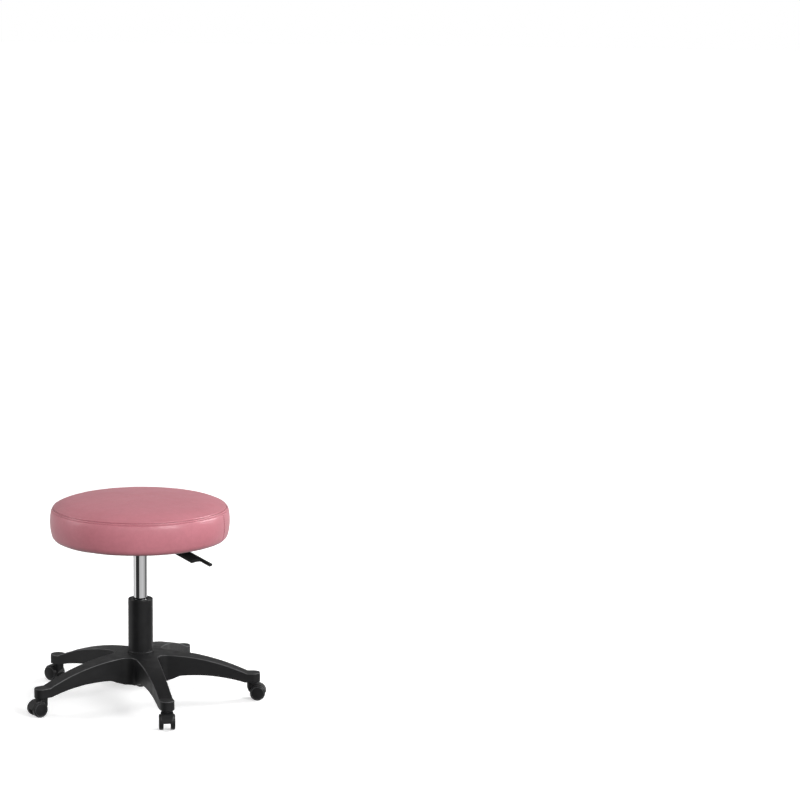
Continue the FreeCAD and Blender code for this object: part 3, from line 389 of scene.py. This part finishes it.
def arc(start, end, bend):
    """Points of the short arc that bulges to the left of the way from start to end."""
    chord = end - start
    half = chord.length / 2
    left = Vector((-chord.y, chord.x)).normalized()
    centre = (start + end) / 2 - left * math.sqrt(bend * bend - half * half)
    turn = -2 * math.asin(half / bend)
    count = max(4, round(chord.length / MM))
    spoke = start - centre
    return [centre + Matrix.Rotation(turn * k / count, 2) @ spoke for k in range(count + 1)]


def seat_profile(inset=0.0):
    """The cover's section from the middle of the crown over the seam and the band to the foot.

    Gives its points and the number of the one on the seam. Each stretch is an arc of its own radius.
    """
    knee = Vector((SEAM_RADIUS - 34 * MM, SEAM_LEVEL + 12.2 * MM))
    seam = Vector((SEAM_RADIUS, SEAM_LEVEL))
    band_top = Vector((SEAT_RADIUS - 0.9 * MM, SEAM_LEVEL - 13 * MM))
    band_foot = Vector((SEAT_RADIUS - 2.4 * MM, SEAT_BOTTOM + 14.2 * MM))
    foot = Vector((SEAT_RADIUS - 14 * MM, SEAT_BOTTOM))
    rise = SEAT_TOP - knee.y
    dome = (knee.x ** 2 + rise ** 2) / (2 * rise)
    points = [Vector((0, SEAT_TOP))]
    for end, bend in ((knee, dome), (seam, 0.080), (band_top, 0.028), (band_foot, 0.110), (foot, 0.015)):
        points += arc(points[-1], end, bend)[1:]
        if end is seam:
            seam_index = len(points) - 1
    if inset:
        points = [point - outward * inset for point, outward in zip(points, outward_normals(points))]
    return points, seam_index


def outward_normals(points):
    """The direction out of a section at each of its points."""
    normals = []
    for i, point in enumerate(points):
        ahead = points[min(i + 1, len(points) - 1)] - points[max(i - 1, 0)]
        normals.append(Vector((-ahead.y, ahead.x)).normalized())
    return normals


def fill_lathe(name, profile, columns, material):
    """A closed solid turned from a profile whose ends are then joined to the axis."""
    points = [Vector((0, 0, profile[0].y))]
    rows = 1
    for radius, level in [(p.x, p.y) for p in profile if p.x > 1e-6]:
        points += [polar(radius, math.tau * i / columns, level) for i in range(columns)]
        rows += 1
    points.append(Vector((0, 0, profile[-1].y)))
    rows += 1
    faces = lathe_faces(rows, columns, last_is_centre=True)
    return mesh_object(name, points, faces, material)


def inflate(piece, voxel, cap, held):
    """Remeshes a closed piece, blows it up a little as cloth and keeps the result as its mesh.

    held(point) is how firmly a point is pinned, and no point moves further than the cap.
    """
    bpy.context.view_layer.objects.active = piece
    remesh = piece.modifiers.new("Remesh", "REMESH")
    remesh.mode = "VOXEL"
    remesh.voxel_size = voxel
    bpy.ops.object.modifier_apply(modifier=remesh.name)
    start = [vertex.co.copy() for vertex in piece.data.vertices]
    frames = 20
    pins = piece.vertex_groups.new(name="held")
    for index, point in enumerate(start):
        pins.add([index], held(point), "REPLACE")
    cloth = piece.modifiers.new("Cloth", "CLOTH")
    settings = cloth.settings
    settings.quality = 6
    settings.mass = 0.3
    settings.tension_stiffness = settings.compression_stiffness = 25
    settings.shear_stiffness = 10
    settings.bending_stiffness = 1.5
    settings.vertex_group_mass = "held"
    settings.pin_stiffness = 0.6
    settings.use_pressure = True
    settings.uniform_pressure_force = 4
    settings.effector_weights.gravity = 0
    cloth.collision_settings.use_collision = False
    cloth.point_cache.frame_start = 1
    cloth.point_cache.frame_end = frames
    scene = bpy.context.scene
    for step in range(1, frames + 1):
        scene.frame_set(step)
    bpy.ops.object.modifier_apply(modifier=cloth.name)
    scene.frame_set(1)
    for vertex, before in zip(piece.data.vertices, start):
        move = vertex.co - before
        if move.length > 1e-9:
            vertex.co = before + move * (cap * math.tanh(move.length / cap) / move.length)
    smooth = piece.modifiers.new("Subdivision", "SUBSURF")
    smooth.levels = 1
    bpy.ops.object.modifier_apply(modifier=smooth.name)


def spaced(profile, seam_index):
    """The profile resampled with fine rows about the seam and wider ones elsewhere.

    Gives pairs of a point and its distance past the seam.
    """
    lengths = [0.0]
    for before, after in zip(profile[:-1], profile[1:]):
        lengths.append(lengths[-1] + (after - before).length)
    seam = lengths[seam_index]
    out = []
    along = 0.0
    index = 0
    while along < lengths[-1]:
        while lengths[index + 1] < along:
            index += 1
        share = (along - lengths[index]) / (lengths[index + 1] - lengths[index])
        out.append((profile[index].lerp(profile[index + 1], share), along - seam))
        past = abs(along - seam)
        along += next(step for reach, step in ROW_STEPS if past < reach)
    out.append((profile[-1], lengths[-1] - seam))
    return out


def even_angles():
    """Even steps round the seat, starting half a step past the band's upright joint."""
    return [BAND_JOINT + (i + 0.5) * math.tau / SEAT_COLUMNS for i in range(SEAT_COLUMNS)]


def column_angles():
    """The even angles and finer ones about the band's upright joint, in one turn that starts there."""
    reach = 1.5 * math.tau / SEAT_COLUMNS
    fine = 36
    joint = [BAND_JOINT - reach + 2 * reach * (k + 0.5) / fine for k in range(fine)]
    return sorted(BAND_JOINT + (angle - BAND_JOINT) % math.tau for angle in even_angles() + joint)


def around(line, angle):
    """The value at an angle, between the even columns of one row."""
    spot = (angle - BAND_JOINT) / math.tau * len(line) - 0.5
    before = math.floor(spot)
    share = spot - before
    return line[before % len(line)] * (1 - share) + line[(before + 1) % len(line)] * share


def bell(distance, width):
    """One at no distance, falling smoothly to nothing a few widths away."""
    return math.exp(-(distance / width) ** 2)


def seat_cushion():
    """The padded seat: the inflated form carries the seam, the joint and the pleats underneath."""
    vinyl = MATERIALS["pink_vinyl"]
    form_profile, _ = seat_profile(FORM_INSET)
    form = fill_lathe("form", form_profile, columns=180, material=vinyl)

    def held(point):
        """Fixed at the foot, firm about the seam and loose elsewhere."""
        reach = math.hypot(point.x, point.y)
        at_seam = math.hypot(reach - (SEAM_RADIUS - 3 * MM), point.z - (SEAM_LEVEL - 3 * MM)) < 6 * MM
        if point.z < SEAT_BOTTOM + 8 * MM:
            return 1.0
        return 0.75 if at_seam else 0.12

    inflate(form, voxel=5 * MM, cap=6 * MM, held=held)
    form_tree = BVHTree.FromObject(form, bpy.context.evaluated_depsgraph_get())

    profile, seam_index = seat_profile()
    rows = spaced(profile, seam_index)
    normals = outward_normals([point for point, _ in rows])
    angles = column_angles()
    ray_start = 12
    lift = []
    for (point, _), normal in zip(rows, normals):
        line = []
        for angle in even_angles():
            outward = Vector((normal.x * math.cos(angle), normal.x * math.sin(angle), normal.y))
            start = polar(point.x, angle, point.y)
            hit = form_tree.ray_cast(start + outward * ray_start * MM, -outward, 30 * MM)
            line.append(ray_start * MM - hit[3] if hit[0] is not None else None)
        lift.append(line)
    lift = evened(lift, 6)
    bpy.data.objects.remove(form)
    band_rows = [line for (_, past), line in zip(rows, lift) if past > 8 * MM]
    band_mean = sum(map(sum, band_rows)) / sum(map(len, band_rows))
    proud = 0.3 * MM
    lift = [[value - band_mean + proud for value in line] for line in lift]

    underside = [
        (Vector((SEAT_RADIUS - inwards * MM, SEAT_BOTTOM + rise * MM)), pleat)
        for inwards, rise, pleat in UNDERSIDE]
    points = []
    crease_shades = []
    worn = []
    for (point, past), normal, line in zip(rows, normals, lift):
        band = past > 0
        # The crown turns matt from 5 mm inside the seam, and fully by 25 mm.
        wear = min(1.0, max(0.0, (-past - 5 * MM) / (20 * MM)))
        for angle in angles:
            turn = math.atan2(math.sin(angle - BAND_JOINT), math.cos(angle - BAND_JOINT))
            sideways = turn * point.x
            outward = Vector((normal.x * math.cos(angle), normal.x * math.sin(angle), normal.y))
            pucker = noise.noise(Vector((angle * 26, past * 40, 3.1)))
            ripple = noise.noise(Vector((math.cos(angle) * 5, math.sin(angle) * 5, past * 18)))
            stitch = math.cos(angle * STITCH_COUNT)
            shape = around(line, angle)
            # The seam's groove with a roll on each side, then the stitched line with a roll below it.
            shape -= 1.4 * MM * bell(past, 0.8 * MM)
            shape += 0.4 * MM * bell(abs(past) - 2.0 * MM, 1.3 * MM)
            shape -= (0.75 + 0.15 * stitch) * MM * bell(past - STITCH_DROP, 0.8 * MM)
            shape += 0.3 * MM * bell(past - STITCH_DROP - 2.2 * MM, 1.4 * MM)
            # Puckers that fade away from the seam, and the cover's own slow unevenness.
            shape += 0.28 * MM * pucker * math.exp(-abs(past) / (9 * MM))
            shape += 0.35 * MM * ripple * (1.0 if band else 0.6)
            # Painted shade in the seam's groove and, fainter, in the stitch line's groove.
            crease_shade = max(bell(past, 0.8 * MM), 0.4 * bell(past - STITCH_DROP, 0.7 * MM))
            if band:
                # The band's upright joint: a groove with a roll on each side.
                joint = bell(sideways, 0.8 * MM)
                shape -= 1.1 * MM * joint
                shape += 0.25 * MM * bell(abs(sideways) - 2 * MM, 1.2 * MM)
                # Painted shade in the joint's groove.
                crease_shade = max(crease_shade, 0.8 * joint)
            points.append(polar(point.x, angle, point.y) + outward * shape)
            crease_shades.append(crease_shade)
            worn.append(wear)
    for point, pleat in underside:
        for angle in angles:
            wave = math.cos(angle * 64 + 2.2 * noise.noise(Vector((angle * 9, 0.4, 0.2))))
            drop = pleat * MM * 0.45 * (wave - 0.6)
            points.append(polar(point.x, angle, point.y - drop * 0.5))
            # Painted shade in the troughs between the pleats.
            crease_shades.append(0.5 * pleat * max(0.0, -wave) ** 4)
            worn.append(0.0)
    count = len(angles)
    row_count = len(rows) + len(underside)
    # The first row lies on the axis, so one of its points stands for all.
    points = [points[0]] + points[count:]
    cushion = mesh_object("seat_cushion", points, lathe_faces(row_count, count), vinyl)
    # The crease attribute carries the painted shade for the vinyl's colour; worn only makes the crown matt.
    for name, values in (("crease_shade", crease_shades), ("worn", worn)):
        layer = cushion.data.attributes.new(name, "FLOAT", "POINT")
        layer.data.foreach_set("value", [values[0]] + values[count:])
    return cushion


def evened(grid, passes):
    """A grid around the axis with its gaps filled and its small steps smoothed away."""
    columns = len(grid[0])
    for line in grid:
        known = [value for value in line if value is not None]
        middle = sum(known) / len(known) if known else 0.0
        line[:] = [middle if value is None else value for value in line]
    for _ in range(passes):
        rounded = []
        for i, line in enumerate(grid):
            above = grid[max(i - 1, 0)]
            below = grid[min(i + 1, len(grid) - 1)]
            rounded.append([
                0.3 * line[j] + 0.2 * (line[j - 1] + line[(j + 1) % columns]) + 0.15 * (above[j] + below[j])
                for j in range(columns)])
        grid = rounded
    return grid


# A stitch's rings: how far along it, how far out of the cover and how wide, both in radii of the thread.
STITCH_RINGS = (
    (0.0, -1.1, 0.6), (0.14, -0.1, 0.95), (0.35, 0.45, 1.0),
    (0.65, 0.45, 1.0), (0.86, -0.1, 0.95), (1.0, -1.1, 0.6))
# How far below the seam each stitch beside the upright joint starts.
JOINT_STITCH_DROPS = [(6 + 4 * k) * MM for k in range(15)]
JOINT_STITCH_LENGTH = 2.8 * MM
JOINT_STITCH_ASIDE = 3.2 * MM
THREAD_RADIUS = 0.28 * MM


def capsules(name, places, radius, material):
    """A row of short stitches: each place is (start, end, outward); the ends dip into the cover."""
    sides = 6
    points = []
    faces = []
    for start, end, outward in places:
        along = (end - start).normalized()
        across = along.cross(outward).normalized()
        base = len(points)
        for share, height, girth in STITCH_RINGS:
            centre = start.lerp(end, share) + outward * radius * height
            for k in range(sides):
                turn = math.tau * k / sides
                spoke = outward * math.cos(turn) + across * math.sin(turn)
                points.append(centre + spoke * radius * girth)
        for ring in range(len(STITCH_RINGS) - 1):
            for k in range(sides):
                a = base + ring * sides + k
                b = base + ring * sides + (k + 1) % sides
                faces.append((a, b, b + sides, a + sides))
        faces.append(tuple(base + k for k in reversed(range(sides))))
        faces.append(tuple(base + (len(STITCH_RINGS) - 1) * sides + k for k in range(sides)))
    return mesh_object(name, points, faces, material)


def surface_hit(tree, angle, level):
    """The point and normal of the cushion's side at an angle and a level."""
    outside = 0.3
    outward = Vector((math.cos(angle), math.sin(angle), 0))
    point, normal, _, _ = tree.ray_cast(outward * outside + Vector((0, 0, level)), -outward, outside)
    return point, normal


def seat_stitching(cushion):
    """The stitches below the seam and the two rows beside the band's upright joint."""
    tree = BVHTree.FromObject(cushion, bpy.context.evaluated_depsgraph_get())
    places = []
    level = SEAM_LEVEL - STITCH_DROP * 0.92
    half = math.tau / STITCH_COUNT * 0.36
    for i in range(STITCH_COUNT):
        mid = math.tau * i / STITCH_COUNT
        ends = [surface_hit(tree, mid + side * half, level)[0] for side in (-1, 1)]
        normal = surface_hit(tree, mid, level)[1]
        places.append((ends[0], ends[1], normal))
    for side in (-1, 1):
        shift = side * JOINT_STITCH_ASIDE / SEAT_RADIUS
        for drop in JOINT_STITCH_DROPS:
            top = SEAM_LEVEL - drop
            start, normal = surface_hit(tree, BAND_JOINT + shift, top)
            end, _ = surface_hit(tree, BAND_JOINT + shift, top - JOINT_STITCH_LENGTH)
            places.append((start, end, normal))
    return capsules("seat_stitching", places, THREAD_RADIUS, THREAD)


cushion = seat_cushion()
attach(cushion, "seat")
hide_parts("seat_cover", "seat_foam")

stitching = seat_stitching(cushion)
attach(stitching, "seat")


# ---------------------------------------------------------------- cloth under the seat

STAPLES = 24


def dust_cloth():
    """The black cloth under the board: pulled flat to its staples, sagging a little between them."""
    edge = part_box("dust_cover")[1].x
    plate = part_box("mounting_plate")[1].x * 0.78
    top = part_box("seat_board")[0].z - 0.25 * MM
    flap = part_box("seat_cover")[0].z + 3.4 * MM
    lip = edge - 12 * MM
    columns = 240
    rings = 40
    points = [Vector((0, 0, top))]
    for ring in range(1, rings + 1):
        reach = edge * (ring / rings)
        for i in range(columns):
            angle = math.tau * i / columns
            open_part = max(0.0, min(1.0, (reach - plate) / (lip - plate)))
            uneven = 1 + 0.5 * noise.noise(polar(reach * 22, angle, 0.3))
            sag = 1.1 * MM * math.sin(math.pi * open_part) * uneven
            pull = 0.25 * MM * math.cos(angle * STAPLES) * open_part ** 2
            level = top - sag - pull * 0.4
            if reach > lip - 3 * MM:
                level = min(level, flap - 0.45 * MM)
            points.append(polar(reach, angle, level))
    faces = lathe_faces(rings + 1, columns)
    cloth = mesh_object("dust_cloth", points, faces, MATERIALS["underside_cloth"])
    thick = cloth.modifiers.new("Solidify", "SOLIDIFY")
    thick.thickness = 0.4 * MM
    thick.offset = -1
    return cloth


cloth = dust_cloth()
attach(cloth, "seat")
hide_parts("dust_cover")


# ---------------------------------------------------------------- floor, light and camera

def pale_floor():
    """A wide flat floor, which glows more with distance so that it runs into the white background."""
    rings = (0.0, 0.5, 1, 2, 4, 8, 16, 32, 60)
    columns = 48
    points = [Vector((0, 0, 0))]
    for reach in rings[1:]:
        points += [polar(reach, math.tau * i / columns, 0) for i in range(columns)]
    shade = Shade("pale_floor", Specular_IOR_Level=0.2)
    shade.shader.inputs["Emission Color"].default_value = (1, 1, 1, 1)
    reach = shade.add("ShaderNodeVectorMath", {0: shade.place}, operation="LENGTH").outputs["Value"]
    far = shade.add("ShaderNodeMapRange", {
        "Value": reach, "From Min": 1.0, "From Max": 6.0, "To Min": 0.38, "To Max": 0.9})
    shade.set("Emission Strength", far.outputs["Result"])
    shade.set("Base Color", shade.ramp(shade.noise(3, 3), (0.3, 0.9), (0.7, 0.93)))
    shade.set("Roughness", shade.ramp(shade.noise(8), (0.3, 0.75), (0.7, 0.85)))
    floor = mesh_object("floor", points, lathe_faces(len(rings), columns), shade.material)
    floor.visible_diffuse = False
    floor.visible_glossy = False


def soft_light(name, place, size, power, gleam):
    """An area light that either lights the surfaces or, as a gleam, only shows in their gloss."""
    lamp = bpy.data.lights.new(name, "AREA")
    lamp.shape = "RECTANGLE"
    lamp.size, lamp.size_y = size
    lamp.energy = power
    item = bpy.data.objects.new(name, lamp)
    item.location = place
    item.rotation_euler = (AIM - Vector(place)).to_track_quat("-Z", "Y").to_euler()
    item.visible_diffuse = not gleam
    item.visible_glossy = gleam
    bpy.context.collection.objects.link(item)


def studio_world():
    """White where the camera looks past the stool, and grey levels for its light.

    Gloss sees its own levels above the horizon, and below it upright bands for the chrome to show.
    """
    world = bpy.data.worlds.new("studio")
    bpy.context.scene.world = world
    world.use_nodes = True
    nodes = Nodes(world.node_tree)
    where = nodes.add("ShaderNodeTexCoord").outputs["Generated"]
    split = nodes.add("ShaderNodeSeparateXYZ", {"Vector": where}).outputs
    height = nodes.add("ShaderNodeMapRange", {"Value": split["Z"], "From Min": -1.0, "From Max": 1.0})
    azimuth = nodes.add("ShaderNodeMath", {0: split["Y"], 1: split["X"]}, operation="ARCTAN2")
    turn = nodes.add("ShaderNodeMapRange", {
        "Value": azimuth.outputs["Value"], "From Min": -math.pi, "From Max": math.pi})
    below = nodes.add("ShaderNodeMapRange", {"Value": split["Z"], "From Min": 0.03, "From Max": -0.02})
    level = height.outputs["Result"]
    bands = nodes.ramp(turn.outputs["Result"], *WORLD_BANDS)
    shown = nodes.mix(below.outputs["Result"], nodes.ramp(level, *WORLD_SHOWN), bands)
    rays = nodes.add("ShaderNodeLightPath").outputs
    lit = nodes.mix(rays["Is Glossy Ray"], nodes.ramp(level, *WORLD_LIGHT), shown)
    final = nodes.mix(rays["Is Camera Ray"], lit, (1.0, 1.0, 1.0))
    background = world.node_tree.nodes["Background"]
    nodes.tree.links.new(final, background.inputs["Color"])
    background.inputs["Strength"].default_value = 1.0


def turn_share(degrees):
    """An angle round the column as a share of a turn, as the bands' ramp takes it."""
    return ((degrees + 180) % 360) / 360


CAMERA_PLACE = Vector((0.45884, -5.12349, 1.43178))
CAMERA_YAW = math.radians(0.684)
CAMERA_PITCH = math.radians(9.018)
CAMERA_ROLL = math.radians(0.674)
CAMERA_LENS = 116.766

# Brightness by height, from straight down at 0 to straight up at 1: as light, and as gloss sees it.
WORLD_LIGHT = ((0.0, 0.04), (0.46, 0.09), (0.52, 0.62), (0.7, 0.44), (1.0, 0.22))
WORLD_SHOWN = ((0.0, 0.12), (0.46, 0.15), (0.5, 0.22), (0.62, 0.28), (0.75, 0.4), (1.0, 0.45))
facing = math.degrees(math.atan2(CAMERA_PLACE.y, CAMERA_PLACE.x))
# Brightness by direction, in degrees from the camera's side of the column.
BAND_STOPS = (
    (-179, 0.6), (-84, 0.85), (-77, 0.03), (-21, 0.03), (-15, 0.5),
    (40, 0.6), (80, 0.35), (101, 0.05), (112, 0.05), (118, 0.6))
WORLD_BANDS = tuple(sorted((turn_share(facing + offset), value) for offset, value in BAND_STOPS))

AIM = Vector((0, 0, 0.35))
# Name, place, size, power, and whether it is a gleam.
LAMPS = (
    ("key", (2.6, -2.6, 1.6), (1.6, 1.1), 94, False),
    ("front", (-0.3, -4.0, 1.35), (2.4, 1.0), 62, False),
    ("left", (-3.0, 0.4, 1.4), (0.9, 1.6), 38, False),
    ("right", (2.4, 1.2, 1.3), (0.9, 1.6), 62, False),
    ("top", (0.2, 0.8, 2.8), (2.0, 2.0), 4, False),
    ("key_gleam", (2.3, -2.6, 1.8), (1.6, 1.1), 85, True),
    ("left_gleam", (-3.0, -0.2, 1.4), (0.9, 1.4), 30, True),
    ("right_gleam", (2.6, 0.6, 1.5), (0.9, 1.4), 80, True),
)

pale_floor()
studio_world()
for lamp_row in LAMPS:
    soft_light(*lamp_row)

camera_data = bpy.data.cameras.new("camera")
camera_data.lens = CAMERA_LENS
camera_data.sensor_width = 36
camera_data.clip_end = 200
camera = bpy.data.objects.new("camera", camera_data)
camera.matrix_world = (
    Matrix.Translation(CAMERA_PLACE)
    @ Matrix.Rotation(-CAMERA_YAW, 4, "Z")
    @ Matrix.Rotation(math.pi / 2 - CAMERA_PITCH, 4, "X")
    @ Matrix.Rotation(CAMERA_ROLL, 4, "Z"))
bpy.context.collection.objects.link(camera)
scene = bpy.context.scene
scene.camera = camera
scene.view_settings.view_transform = "Standard"
scene.view_settings.look = "None"
